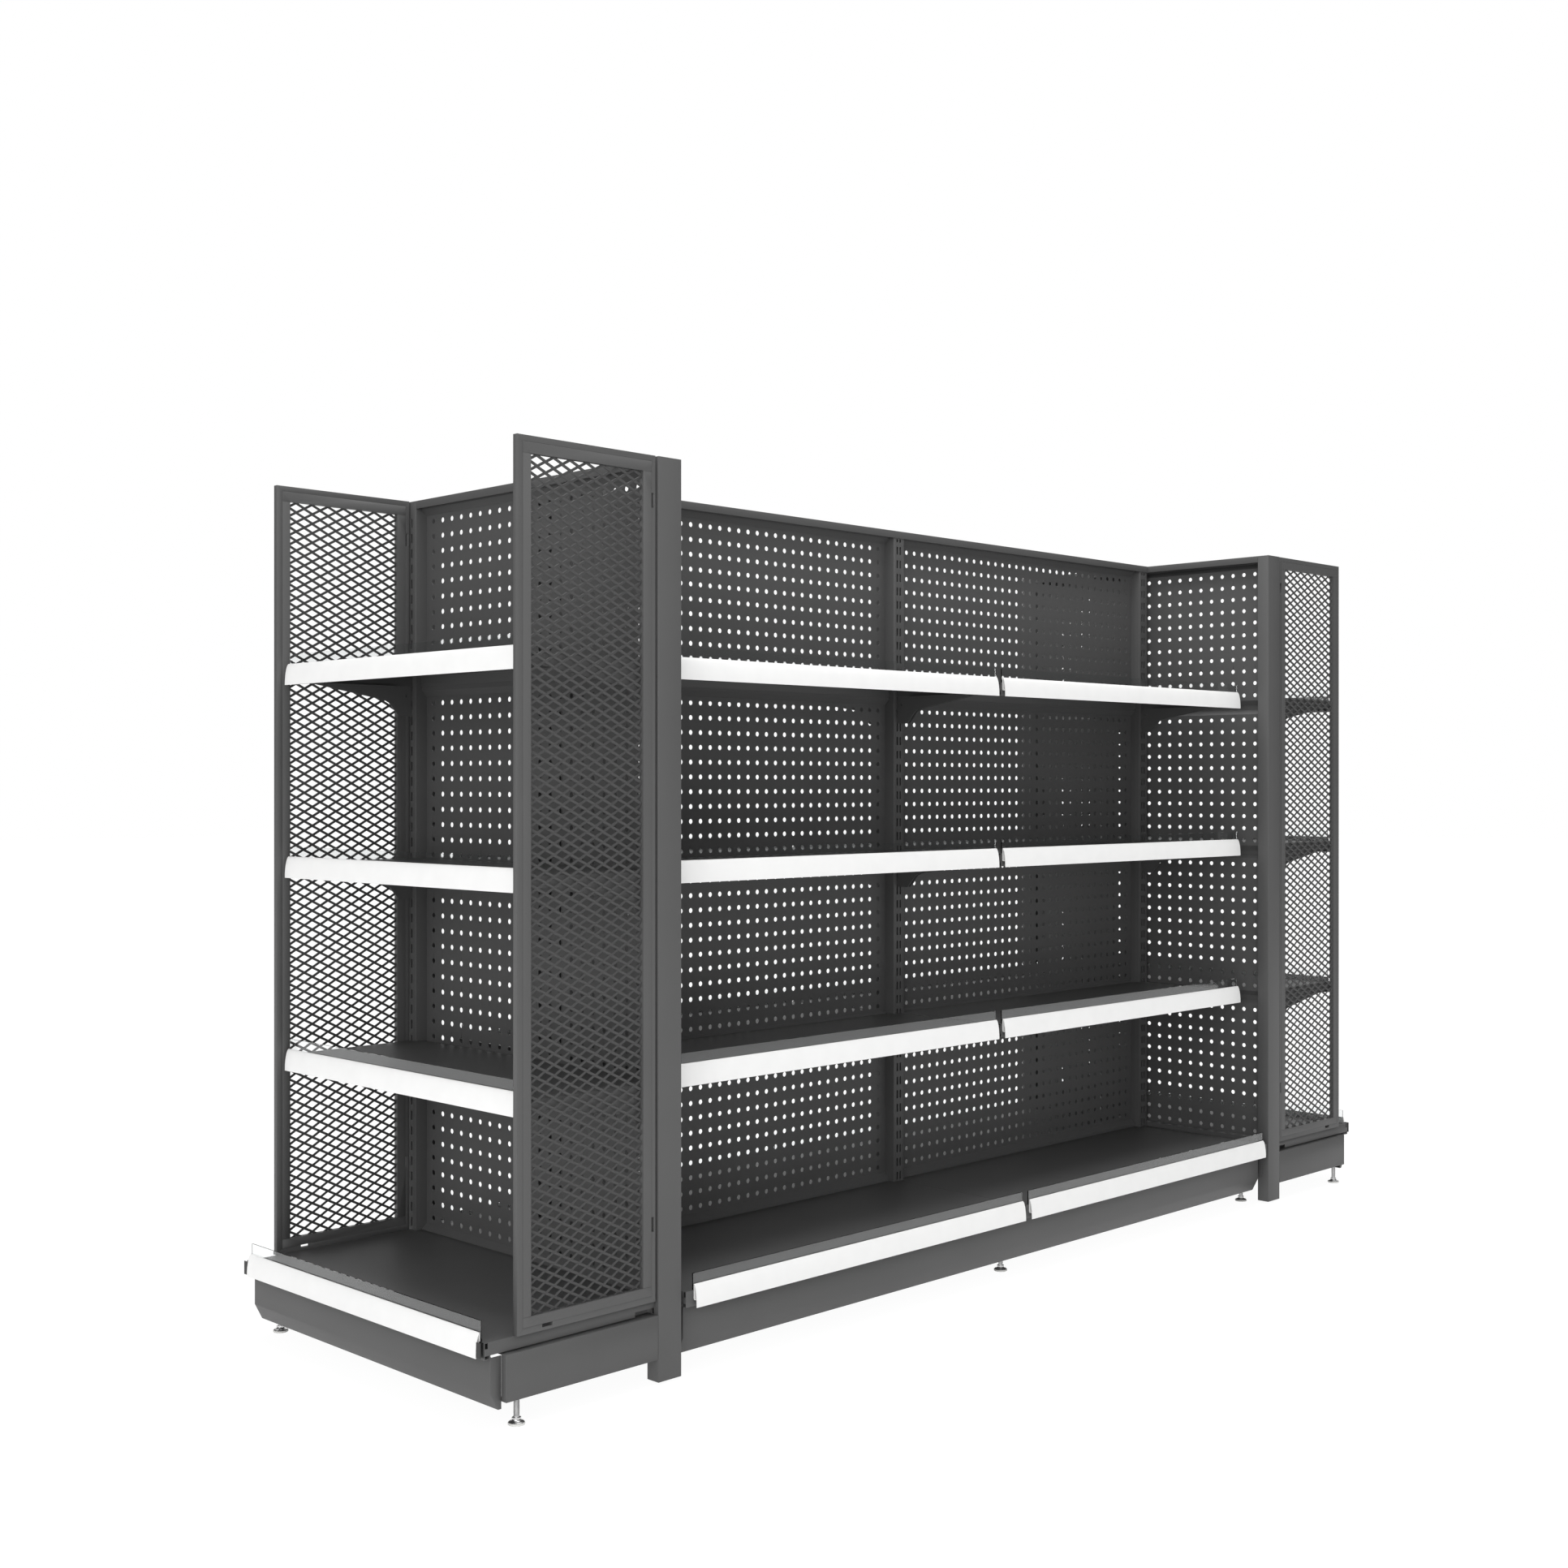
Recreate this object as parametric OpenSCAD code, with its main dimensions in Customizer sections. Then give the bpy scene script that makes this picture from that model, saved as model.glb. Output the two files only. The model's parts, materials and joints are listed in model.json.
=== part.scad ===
// Double-sided gondola shelving unit: two bays back to back with an end cap at each end.
// X runs along the unit and Y across it, with the front at -Y. Z is up.
// The origin is on the floor under the middle of the unit.

/* [Unit] */
// Distance between the centre lines of two neighbouring uprights
bay_pitch = 900; // [760:1:1200]
// Height of the unit
unit_h = 1510; // [1420:1:1700]
// Width of an end wall over its two corner posts
end_wall_w = 720; // [640:1:900]
// Height of the posts' feet above the floor
post_foot_z = 4; // [1:0.5:20]
// Clearance between pieces that meet
fit_gap = 0.3; // [0.2:0.05:0.4]

/* [Posts] */
// Width of an upright, along the run
upright_w = 32; // [28:0.5:50]
// Depth of an upright, across the run
upright_d = 50; // [44:0.5:70]
// Width of a corner post, across the run
corner_w = 28; // [25:0.5:36]
// Depth of a corner post, along the run
corner_d = 50; // [42:0.5:70]
// Wall of the post tubes
post_wall = 2; // [1.5:0.1:3]
// Width of a bracket slot
slot_w = 4.5; // [3.6:0.1:6]
// Height of a bracket slot
slot_h = 16.6; // [15:0.1:20]
// Distance between bracket slots up a post
slot_pitch = 28.65; // [26:0.05:31]
// Height of the lowest bracket slot's centre
slot_base_z = 65; // [40:0.5:80]
// Distance between the two slot columns of an upright
slot_spread = 9.4; // [7.4:0.1:12]
// Least distance from the top of the unit to the top slot's centre
slot_margin = 35; // [30:0.5:60]
// Height of the short slot under the top rail
rail_slot_h = 7; // [5:0.5:9]
// Depth of the short slot's centre below the top of the unit
rail_slot_drop = 20; // [18.5:0.1:22]

/* [Top rails] */
// Depth of a rail's side skirts
rail_h = 15; // [12:0.5:18]
// Sheet of the rails
rail_t = 1.5; // [1:0.1:2]

/* [Back panels] */
// Thickness of the panel sheets
panel_t = 1; // [0.8:0.1:1.5]
// Diameter of a peg hole
peg_d = 10.5; // [6:0.1:12]
// Distance between peg holes along a bay panel
bay_peg_pitch = 25.28; // [22:0.01:30]
// Distance between peg holes along an end panel
end_peg_pitch = 29.5; // [22:0.1:32]
// Distance from a bay's left upright to its first peg column
bay_peg_start = 27; // [25:0.1:30]
// Least distance from the last peg column to a bay's right upright
bay_peg_end = 30; // [25:0.1:40]
// Least distance from an end panel's peg columns to a corner post
end_peg_margin = 12; // [8:0.1:25]
// How far a sheet's bent edges stand in front of its flat
ridge_out = 11; // [8:0.1:12]
// Height of the straight lips where two sheets meet
ridge_flat = 11; // [9:0.1:13]
// Height of the seam between two sheets above the middle of their ridge
seam_rise = 4; // [2:0.1:4.5]
// Depth of a bay panel's top ridge below the top of the unit
bay_panel_drop = 9.9; // [9:0.1:14]
// Height of a bay panel's lowest ridge
bay_panel_foot = 141.3; // [138:0.1:150]
// Depth of an end panel's top ridge below the top of the unit
end_panel_drop = 9.9; // [9:0.1:14]
// Height of an end panel's lowest ridge
end_panel_foot = 131; // [125:0.1:140]

/* [Mesh side panels] */
// Width of a mesh panel
mesh_panel_w = 278.5; // [240:0.1:300]
// Thickness of a mesh panel's frame
mesh_frame_t = 10; // [8:0.1:12]
// Distance from a mesh panel's face to the outer face of its corner post
mesh_inset = 2.6; // [1:0.1:5]
// Width of the frame's upright bar beside the post
mesh_bar_w = 26.1; // [20:0.1:34]
// Width of the frame's free upright bar
mesh_outer_bar_w = 26.6; // [20:0.1:38]
// Width of the frame's top bar
mesh_top_bar_w = 26.9; // [20:0.1:34]
// Width of the frame's lower bar
mesh_low_bar_w = 25.5; // [18:0.1:30]
// Gap between a mesh panel and its corner post
mesh_post_gap = 4.2; // [2:0.1:8]
// Width of one mesh diamond, centre to centre
diamond_w = 32.7; // [26:0.1:44]
// Height of one mesh diamond, centre to centre
diamond_h = 17.1; // [14:0.1:24]
// Width of a mesh strand
strand_w = 2.8; // [2:0.1:4]
// How many times larger the solid mesh's diamonds and strands are than the real ones
mesh_coarse = 2.5; // [1.5:0.5:4]
// Thickness of the mesh sheet
mesh_t = 1.6; // [1:0.1:3]
// Length of the slots through the frame's inner bar
frame_slot_len = 24; // [16:0.5:40]
// Height of the lower one above the frame's foot
frame_slot_rise = 114; // [60:1:200]
// Depth of the upper one below the frame's top
frame_slot_drop = 61; // [40:1:120]
// Distance of the lower bar's slot from the frame's free side
frame_slot_inset = 48; // [40:0.5:100]
// Length of the slot through the frame's lower bar
foot_slot_len = 20; // [10:0.5:30]
// Width of the slots through the frame
frame_slot_w = 5.6; // [2.5:0.1:8]
// Distance of the inner bar's slots from its edge beside the post
frame_slot_edge = 3; // [2:0.1:8]
// Height of the lower bar's slot above the frame's foot
foot_slot_rise = 4.5; // [3:0.1:10]

/* [Shelves] */
// Slots between one shelf level and the next
slots_per_level = 12; // [11:1:12]
// Height of a board above its upper hook's slot
board_rise = 27.3; // [26.5:0.1:30]
// Depth of the bay shelves in front of an upright
shelf_depth = 269; // [240:0.5:310]
// Depth of the end shelves in front of a corner post
end_shelf_depth = 263.7; // [240:0.5:300]
// Sheet of the boards and decks
board_t = 1.2; // [0.8:0.1:2]
// Height of a board's side and rear skirts
skirt_h = 20; // [18:0.5:24]
// Height of a board's front flange
front_h = 26; // [24:0.1:30]
// Width of the notch in each side skirt, behind the front flange
notch_w = 5.7; // [4:0.1:7]
// Depth of that notch
notch_h = 9.5; // [6:0.5:12]

/* [Shelf brackets] */
// Plate of a bracket
bracket_t = 2; // [1.5:0.1:2.5]
// Height of a bracket against its post
bracket_h = 76.4; // [73:0.1:84]
// Length of a bracket's flat foot
bracket_foot = 29; // [20:0.5:36]
// Length of the steep edge in front of that foot
bracket_knee = 31; // [20:0.5:40]
// Length of a bracket's slender front end
bracket_nose = 66; // [50:1:80]
// Diameter of a bracket's locking hole
lock_hole_d = 5; // [4:0.1:7]
// Distance of that hole from the post
lock_hole_y = 12; // [9:0.5:20]
// Width of the ledge that a board rests on
ledge_w = 8; // [5:0.5:12]
// Height of a hook's neck
hook_neck_h = 7; // [6:0.1:7.4]
// Length of a hook's tongue below its neck
hook_tongue_h = 7; // [5:0.1:7.2]
// Thickness of a hook's tongue
hook_tongue_t = 2.5; // [2:0.1:3]

/* [Ticket strips and fences] */
// Height of a ticket strip
strip_h = 38; // [34:0.5:41]
// How far a ticket strip's lower edge stands out
strip_out = 8.6; // [6:0.1:14]
// Wall of a ticket strip
strip_t = 1.5; // [1:0.1:2]
// Height of a ticket strip's upper edge above its board
strip_rise = 10.6; // [9:0.1:14]
// Gap between the ticket strips of two bays
strip_gap = 20; // [16:0.5:30]
// Distance from an end board's side to its ticket strip
end_strip_inset = 5.8; // [4:0.1:15]
// Height of a fence above its ticket strip
fence_h = 17.3; // [12:0.1:40]
// Thickness of a fence
fence_t = 2.4; // [2:0.1:4]

/* [Base] */
// Height of the base decks' top
deck_z = 140.2; // [138:0.1:145]
// Height of the end decks' top
end_deck_z = 136.5; // [134:0.1:140]
// Depth of the bay decks in front of an upright
deck_depth = 336; // [325:0.5:400]
// Depth of the end decks in front of a corner post
end_deck_depth = 338.2; // [325:0.5:400]
// Gap between a bay deck and its corner posts
deck_end_gap = 9.3; // [6:0.1:12]
// Distance from an end deck's side to the outer face of its corner post
end_deck_inset = 10; // [8:0.1:12]
// Length of the step in an end deck's skirts beside the corner posts
skirt_step_w = 41; // [20:1:60]
// Height of that step
skirt_step_h = 8; // [4:0.5:12]
// Sheet of the kick plates
kick_t = 1.5; // [1:0.1:2]
// How far a bay kick plate stands behind its deck's front
kick_setback = 17.5; // [15:0.1:25]
// How far an end kick plate stands behind its deck's front
end_kick_setback = 12; // [8:0.1:20]
// Height of a kick plate's upper edge
kick_top_z = 113.7; // [113:0.1:113.9]
// Height at which a kick plate bends inward
kick_bend_z = 58.3; // [50:0.1:64]
// Height of a kick plate's lower edge
kick_low_z = 30.2; // [24:0.1:36]
// How far a kick plate's lower edge stands in
kick_bevel = 14.5; // [8:0.5:16]
// Depth of a kick plate's bent ends and lower lip
kick_return = 21; // [18:0.5:24]
// Distance from an end kick plate's bent end to the unit's side
end_kick_inset = 11.6; // [8:0.1:16]
// Sheet of the leg brackets and side plates
leg_t = 2; // [1.5:0.1:2.5]
// Height of the side plates' lower edge
side_low_z = 41.6; // [38:0.1:46]
// Width of the side plates' flanges
side_flange_w = 27; // [24:0.5:40]
// Depth of the side plates' bent front end
side_return = 12.7; // [8:0.1:14]
// Height of the ledge inside the foot of an end wall
sill_top_z = 149; // [146:0.1:149.5]

/* [Levelling feet] */
// Diameter of the foot's bolt
bolt_d = 9.5; // [8:0.1:12]
// Height of the bolt's top
bolt_top_z = 80; // [70:1:84]
// Diameter of the foot's pad
pad_d = 26.5; // [22:0.5:32]
// Height of the pad
pad_h = 3.5; // [2.5:0.1:5]
// Height of the foot's cone above the pad
cone_h = 4.5; // [3:0.1:6]
// Width of the foot's hexagon across its flats
hex_af = 13; // [11:0.5:15]
// Height of the foot's hexagon
hex_h = 3; // [2:0.5:7]
// Distance of the bay feet behind the front of their deck
bay_foot_setback = 64; // [55:0.5:90]
// Distance of the end feet behind the front of their deck
end_foot_setback = 62.5; // [55:0.5:90]

/* [Hidden] */

over = 1;                                   // how far a cut runs past the face it opens
powder_grey = [0.16, 0.16, 0.165];
strip_white = [0.93, 0.93, 0.92];
fence_clear = [0.8, 0.85, 0.88, 0.35];
zinc = [0.75, 0.76, 0.78];

// Posts
upright_face = upright_d / 2;
run_end_x = bay_pitch + upright_w / 2;
corner_x0 = run_end_x + fit_gap;
corner_x1 = corner_x0 + corner_d;
corner_y1 = end_wall_w / 2;
corner_y0 = corner_y1 - corner_w;
end_wall_x = (corner_x0 + corner_x1) / 2;
slot_count = floor((unit_h - slot_margin - slot_base_z) / slot_pitch) + 1;
mesh_outer_y = corner_y1 - mesh_inset;
mesh_inner_y = mesh_outer_y - mesh_frame_t;
end_slot_y = mesh_inner_y - fit_gap - bracket_t / 2;

// Back panels: four sheets a wall, each with eleven rows of holes and a ridge in place of the twelfth
sheet_count = 4;
rows_per_sheet = 12;
ridge_half = ridge_flat / 2 + ridge_out;
panel_front_y = ridge_out + panel_t / 2;
bay_sheet_x0 = upright_w / 2 + fit_gap;
bay_sheet_w = bay_pitch - 2 * bay_sheet_x0;
bay_peg_count = floor((bay_pitch - bay_peg_start - bay_peg_end) / bay_peg_pitch) + 1;
end_sheet_w = 2 * (corner_y0 - fit_gap);
end_peg_count = 2 * floor((end_sheet_w / 2 - end_peg_margin) / end_peg_pitch + 0.5);
end_peg_start = end_sheet_w / 2 - (end_peg_count - 1) / 2 * end_peg_pitch;

// Shelves
bay_bracket_x = bay_pitch / 2 - slot_spread / 2;
bay_board_w = 2 * (bay_bracket_x - bracket_t / 2 - fit_gap);
bay_strip_w = bay_pitch - strip_gap;
end_board_w = 2 * (end_slot_y - bracket_t / 2 - fit_gap);
end_strip_w = end_board_w - 2 * end_strip_inset;
strip_r = (strip_out * strip_out + strip_h * strip_h) / (2 * strip_out);
levels = ["low", "mid", "top"];

// Base
deck_front_y = upright_face + deck_depth;
deck_end_x = corner_x0 - deck_end_gap;
kick_y = deck_front_y - kick_setback;
end_kick_x = corner_x1 + end_deck_depth - end_kick_setback;
kick_return_top_z = kick_top_z - kick_t - fit_gap;
front_fold = end_kick_setback - 2 * fit_gap;
leg_front_y = kick_y - kick_t - fit_gap;
leg_web_y = kick_y - kick_return - 2 * fit_gap;
leg_web_z = kick_bend_z + kick_t;
leg_top_z = deck_z - skirt_h;
side_plate_x0 = corner_x1 + fit_gap;
side_plate_x1 = end_kick_x - kick_return - fit_gap;
bay_foot_x = [-bay_pitch, 0, bay_pitch];
bay_foot_y = deck_front_y - bay_foot_setback;
end_foot_x = corner_x1 + end_deck_depth - end_foot_setback;
end_foot_y = corner_y1 - side_flange_w / 2;

// The height of a post slot's centre, counted from the lowest one
function slot_z(k) = slot_base_z + k * slot_pitch;
// The height of a shelf board's top at level n, from 1 upward
function board_z(n) = slot_z(n * slots_per_level + 2) + board_rise;

module block(x0, x1, y0, y1, z0, z1)
    translate([x0, y0, z0]) cube([x1 - x0, y1 - y0, z1 - z0]);

// A YZ outline drawn out along X from x0 to x1
module along_x(x0, x1)
    translate([x0, 0, 0]) rotate([90, 0, 90]) linear_extrude(x1 - x0) children();

// ---- Posts ----

module upright(x)
    color(powder_grey) translate([x, 0, 0]) difference() {
        top_z = unit_h - rail_t - fit_gap;
        block(-upright_w / 2, upright_w / 2, -upright_face, upright_face, post_foot_z, top_z);
        block(-upright_w / 2 + post_wall, upright_w / 2 - post_wall,
              -upright_face + post_wall, upright_face - post_wall, post_foot_z - over, top_z + over);
        for (side = [-1, 1]) {
            x0 = side * slot_spread / 2 - slot_w / 2;
            for (k = [0 : slot_count - 1])
                block(x0, x0 + slot_w, -upright_face - over, upright_face + over,
                      slot_z(k) - slot_h / 2, slot_z(k) + slot_h / 2);
            block(x0, x0 + slot_w, -upright_face - over, upright_face + over,
                  unit_h - rail_slot_drop - rail_slot_h / 2, unit_h - rail_slot_drop + rail_slot_h / 2);
        }
    }

// The rear right corner post; the others are its mirror images
module corner_post()
    color(powder_grey) difference() {
        block(corner_x0, corner_x1, corner_y0, corner_y1, post_foot_z, unit_h);
        block(corner_x0 + post_wall, corner_x1 - post_wall, corner_y0 + post_wall, corner_y1 - post_wall,
              post_foot_z - over, unit_h - post_wall);
        for (k = [0 : slot_count - 1])
            block(corner_x1 - post_wall - over, corner_x1 + over,
                  end_slot_y - slot_w / 2, end_slot_y + slot_w / 2,
                  slot_z(k) - slot_h / 2, slot_z(k) + slot_h / 2);
    }

// ---- Top rails ----

// A channel that opens downward, half_w either side of its middle
module rail(x0, x1, half_w)
    color(powder_grey) along_x(x0, x1) difference() {
        translate([-half_w, unit_h - rail_h]) square([2 * half_w, rail_h]);
        translate([-half_w + rail_t, unit_h - rail_h - over])
            square([2 * (half_w - rail_t), rail_h + over - rail_t]);
    }

module bay_rail() rail(fit_gap / 2, run_end_x, upright_face + fit_gap + rail_t);

module end_rail()
    translate([end_wall_x, 0, 0]) rotate(90) rail(-corner_y0 + fit_gap, corner_y0 - fit_gap, corner_d / 2);

// ---- Back panels ----

// One sheet, facing -Y: a perforated flat between two bent edges.
// low_z and high_z are the middles of the ridges below and above it, and foot_z is its lower edge.
module peg_sheet(width, count, pitch, start, low_z, high_z, foot_z) {
    row = (high_z - low_z) / rows_per_sheet;
    lip = -ridge_out - panel_t / 2;
    bend = panel_t * tan(22.5);
    translate([0, panel_t / 2, 0]) rotate([90, 0, 0]) linear_extrude(panel_t) difference() {
        translate([0, low_z + ridge_half]) square([width, high_z - low_z - 2 * ridge_half]);
        for (c = [0 : count - 1], r = [1 : rows_per_sheet - 1])
            translate([start + c * pitch, low_z + r * row]) circle(d = peg_d, $fn = 24);
    }
    along_x(0, width) polygon([
        [-panel_t / 2, high_z - ridge_half], [lip, high_z - ridge_flat / 2],
        [lip, high_z + seam_rise - fit_gap / 2], [lip + panel_t, high_z + seam_rise - fit_gap / 2],
        [lip + panel_t, high_z - ridge_flat / 2 + bend], [panel_t / 2, high_z - ridge_half + bend],
        [panel_t / 2, high_z - ridge_half - panel_t], [-panel_t / 2, high_z - ridge_half - panel_t]]);
    along_x(0, width) polygon([
        [-panel_t / 2, low_z + ridge_half], [lip, low_z + ridge_flat / 2],
        [lip, foot_z], [lip + panel_t, foot_z],
        [lip + panel_t, low_z + ridge_flat / 2 - bend], [panel_t / 2, low_z + ridge_half - bend],
        [panel_t / 2, low_z + ridge_half + panel_t], [-panel_t / 2, low_z + ridge_half + panel_t]]);
}

// The stack of sheets of one wall
module peg_wall(width, count, pitch, start, low_z, high_z) {
    sheet_h = (high_z - low_z) / sheet_count;
    for (n = [0 : sheet_count - 1]) {
        z = low_z + n * sheet_h;
        foot_z = n == 0 ? deck_z - skirt_h : z + seam_rise + fit_gap / 2;
        peg_sheet(width, count, pitch, start, z, z + sheet_h, foot_z);
    }
}

module bay_panels(x)
    color(powder_grey) translate([x + bay_sheet_x0, 0, 0])
        peg_wall(bay_sheet_w, bay_peg_count, bay_peg_pitch, bay_peg_start - bay_sheet_x0,
                 bay_panel_foot, unit_h - bay_panel_drop);

// The right end wall's sheets, facing +X
module end_panels()
    color(powder_grey) translate([end_wall_x, 0, 0]) rotate(90) translate([-end_sheet_w / 2, 0, 0])
        peg_wall(end_sheet_w, end_peg_count, end_peg_pitch, end_peg_start,
                 end_panel_foot, unit_h - end_panel_drop);

// ---- Mesh side panels ----

// An XZ outline as a plate between two depths
module plate_y(y0, y1)
    translate([0, y1, 0]) rotate([90, 0, 0]) linear_extrude(y1 - y0) children();

// The rear right mesh panel: a hollowed frame with its expanded mesh
module mesh_panel() {
    x0 = corner_x1 + mesh_post_gap;
    x1 = x0 + mesh_panel_w;
    z0 = end_deck_z + fit_gap;
    open_w = mesh_panel_w - mesh_bar_w - mesh_outer_bar_w;
    open_h = unit_h - z0 - mesh_top_bar_w - mesh_low_bar_w;
    slot_x = x0 + frame_slot_edge;
    foot_slot_x = x1 - frame_slot_inset - foot_slot_len;
    color(powder_grey) plate_y(mesh_inner_y, mesh_outer_y) difference() {
        translate([x0, z0]) square([mesh_panel_w, unit_h - z0]);
        translate([x0 + mesh_bar_w, z0 + mesh_low_bar_w]) square([open_w, open_h]);
        for (z = [z0 + frame_slot_rise, unit_h - frame_slot_drop - frame_slot_len])
            translate([slot_x, z]) square([frame_slot_w, frame_slot_len]);
        translate([foot_slot_x, z0 + foot_slot_rise]) square([foot_slot_len, frame_slot_w]);
    }
    pitch = [diamond_w, diamond_h] * mesh_coarse;
    half = pitch / 2 * (1 - strand_w * sqrt(1 / pow(diamond_w, 2) + 1 / pow(diamond_h, 2)));
    mesh_y = (mesh_inner_y + mesh_outer_y) / 2;
    columns = floor(open_w / pitch.x / 2) + 1;
    rows = 2 * floor(open_h / pitch.y / 2) + 2;
    sheet = [open_w, open_h] - 2 * [fit_gap, fit_gap];
    color(powder_grey) translate([x0 + mesh_bar_w + open_w / 2, 0, z0 + mesh_low_bar_w + open_h / 2])
        plate_y(mesh_y - mesh_t / 2, mesh_y + mesh_t / 2) {
            difference() {
                square(sheet, center = true);
                for (r = [-rows : rows], c = [-columns : columns])
                    translate([(c + abs(r % 2) / 2) * pitch.x, r * pitch.y / 2])
                        polygon([[-half.x, 0], [0, -half.y], [half.x, 0], [0, half.y]]);
            }
            difference() {
                square(sheet, center = true);
                square(sheet - 2 * [mesh_t, mesh_t], center = true);
            }
        }
}

// ---- Boards and decks ----

// A folded tray whose board top is at z, from the back edge y0 out to the front face y1 (both below 0),
// with a folded box along its front and a notch in each side skirt just behind that face.
// The posts stand in its rear corners, inboard of x_in0 and x_in1 and behind y_post.
module tray(x0, x1, x_in0, x_in1, y0, y1, y_post, z)
    difference() {
        union() {
            translate([0, 0, z - board_t]) linear_extrude(board_t)
                polygon([[x0, y1], [x1, y1], [x1, y_post], [x_in1, y_post],
                         [x_in1, y0], [x_in0, y0], [x_in0, y_post], [x0, y_post]]);
            block(x0, x1, y1, y1 + board_t, z - front_h, z);
            block(x0, x1, y1, y1 + front_fold, z - front_h, z - front_h + board_t);
            block(x0, x1, y1 + front_fold - board_t, y1 + front_fold, z - front_h, z);
            block(x0, x0 + board_t, y1, y_post, z - skirt_h, z);
            block(x1 - board_t, x1, y1, y_post, z - skirt_h, z);
            block(x_in0, x_in1, y0 - board_t, y0, z - skirt_h, z);
        }
        notch_in = board_t + fit_gap;
        for (x = [x0 - over, x1 - notch_in])
            block(x, x + notch_in + over, y1 + board_t, y1 + board_t + notch_w, z - notch_h, z + over);
    }

// The section of a ticket strip whose back lies against the front face at y, for a board at z:
// a bowed face, a rear wall and one rib
module strip_section(y, z) {
    low_z = z + strip_rise - strip_h;
    mid_y = y - strip_out + strip_r;
    rib_z = low_z + 0.36 * strip_h;
    intersection() {
        translate([mid_y, low_z]) difference() {
            circle(r = strip_r, $fn = 180);
            circle(r = strip_r - strip_t, $fn = 180);
        }
        translate([y - strip_out - over, low_z]) square([strip_out + over, strip_h]);
    }
    translate([y - fit_gap - strip_t, rib_z - strip_t]) square([strip_t, strip_h * 0.6]);
    rib_out = strip_out - strip_r + sqrt(pow(strip_r - strip_t / 2, 2) - pow(rib_z - low_z, 2));
    translate([y - rib_out, rib_z - strip_t]) square([rib_out - fit_gap, strip_t]);
}

module ticket_strip(x0, x1, y, z)
    color(strip_white) along_x(x0, x1) strip_section(y, z);

// A fence on a board at foot_z, behind a ticket strip set for a board at z
module fence(x0, x1, y, z, foot_z)
    color(fence_clear) block(x0, x1, y + board_t + fit_gap, y + board_t + fit_gap + fence_t,
                             foot_z + fit_gap, z + strip_rise + fence_h);

// ---- Shelves ----

// One bracket plate in the YZ plane, hooked in two slots of a post whose face is at y = 0
module bracket_plate(depth) {
    slot_low = [-board_rise - slot_h / 2, -board_rise - slot_pitch - slot_h / 2];
    nose = depth - board_t - fit_gap;
    knee = bracket_foot + bracket_knee;
    taper = depth - bracket_nose;
    rotate([90, 0, 90]) translate([0, 0, -bracket_t / 2]) linear_extrude(bracket_t) difference() {
        union() {
            polygon([[-fit_gap, -bracket_h], [-bracket_foot, -bracket_h],
                     [-knee + 10, -bracket_h * 0.68], [-knee, -bracket_h * 0.62],
                     [-taper, -skirt_h - 4.5], [-nose, -skirt_h + 4],
                     [-nose, -2 * board_t], [-fit_gap, -2 * board_t]]);
            for (z = slot_low) translate([-over - fit_gap, z + fit_gap])
                square([over + 2 * fit_gap + post_wall + hook_tongue_t, hook_neck_h]);
            for (z = slot_low) translate([post_wall + fit_gap, z + fit_gap - hook_tongue_h])
                square([hook_tongue_t, hook_tongue_h + hook_neck_h]);
        }
        translate([-lock_hole_y, -bracket_h / 2]) circle(d = lock_hole_d, $fn = 24);
    }
}

// A whole shelf facing -Y, with its board's middle at x = 0 and the post faces at y = 0.
// gap_w is how far the posts stand in from each bracket, and wall_y how far the board runs in behind them.
module shelf(board_w, strip_w, depth, bracket_x, gap_w, wall_y, z) {
    half = board_w / 2;
    color(powder_grey)
        tray(-half, half, -bracket_x + gap_w, bracket_x - gap_w, wall_y, -depth, -fit_gap, z);
    for (side = [-1, 1]) {
        color(powder_grey) translate([side * bracket_x, 0, z]) union() {
            bracket_plate(depth);
            mirror([side > 0 ? 1 : 0, 0, 0])
                block(0, bracket_t / 2 + fit_gap + ledge_w, -depth * 0.72, -depth * 0.15,
                      -skirt_h - fit_gap - bracket_t, -skirt_h - fit_gap);
        }
    }
    ticket_strip(-strip_w / 2, strip_w / 2, -depth, z);
    fence(-strip_w / 2, strip_w / 2, -depth, z, z);
}

// A bay shelf in front of the wall, in the bay whose middle is at x
module bay_shelf(x, level)
    translate([x, -upright_face, 0])
        shelf(bay_board_w, bay_strip_w, shelf_depth, bay_bracket_x, bay_sheet_x0 - slot_spread / 2,
              upright_face - panel_front_y - fit_gap, board_z(level));

// A shelf of the right end cap
module end_shelf(level)
    translate([corner_x1, 0, 0]) rotate(90)
        shelf(end_board_w, end_strip_w, end_shelf_depth, end_slot_y, end_slot_y - corner_y0 + fit_gap,
              corner_d / 2 - panel_front_y - fit_gap, board_z(level));

// ---- Base ----

// The deck of the front right bay
module bay_deck() {
    color(powder_grey)
        tray(fit_gap, deck_end_x, bay_sheet_x0, bay_pitch - bay_sheet_x0,
             -panel_front_y - fit_gap, -deck_front_y, -upright_face - fit_gap, deck_z);
    ticket_strip(strip_gap / 2, bay_pitch - strip_gap / 2, -deck_front_y, deck_z);
    fence(strip_gap / 2, bay_pitch - strip_gap / 2, -deck_front_y, deck_z, deck_z);
}

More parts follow.
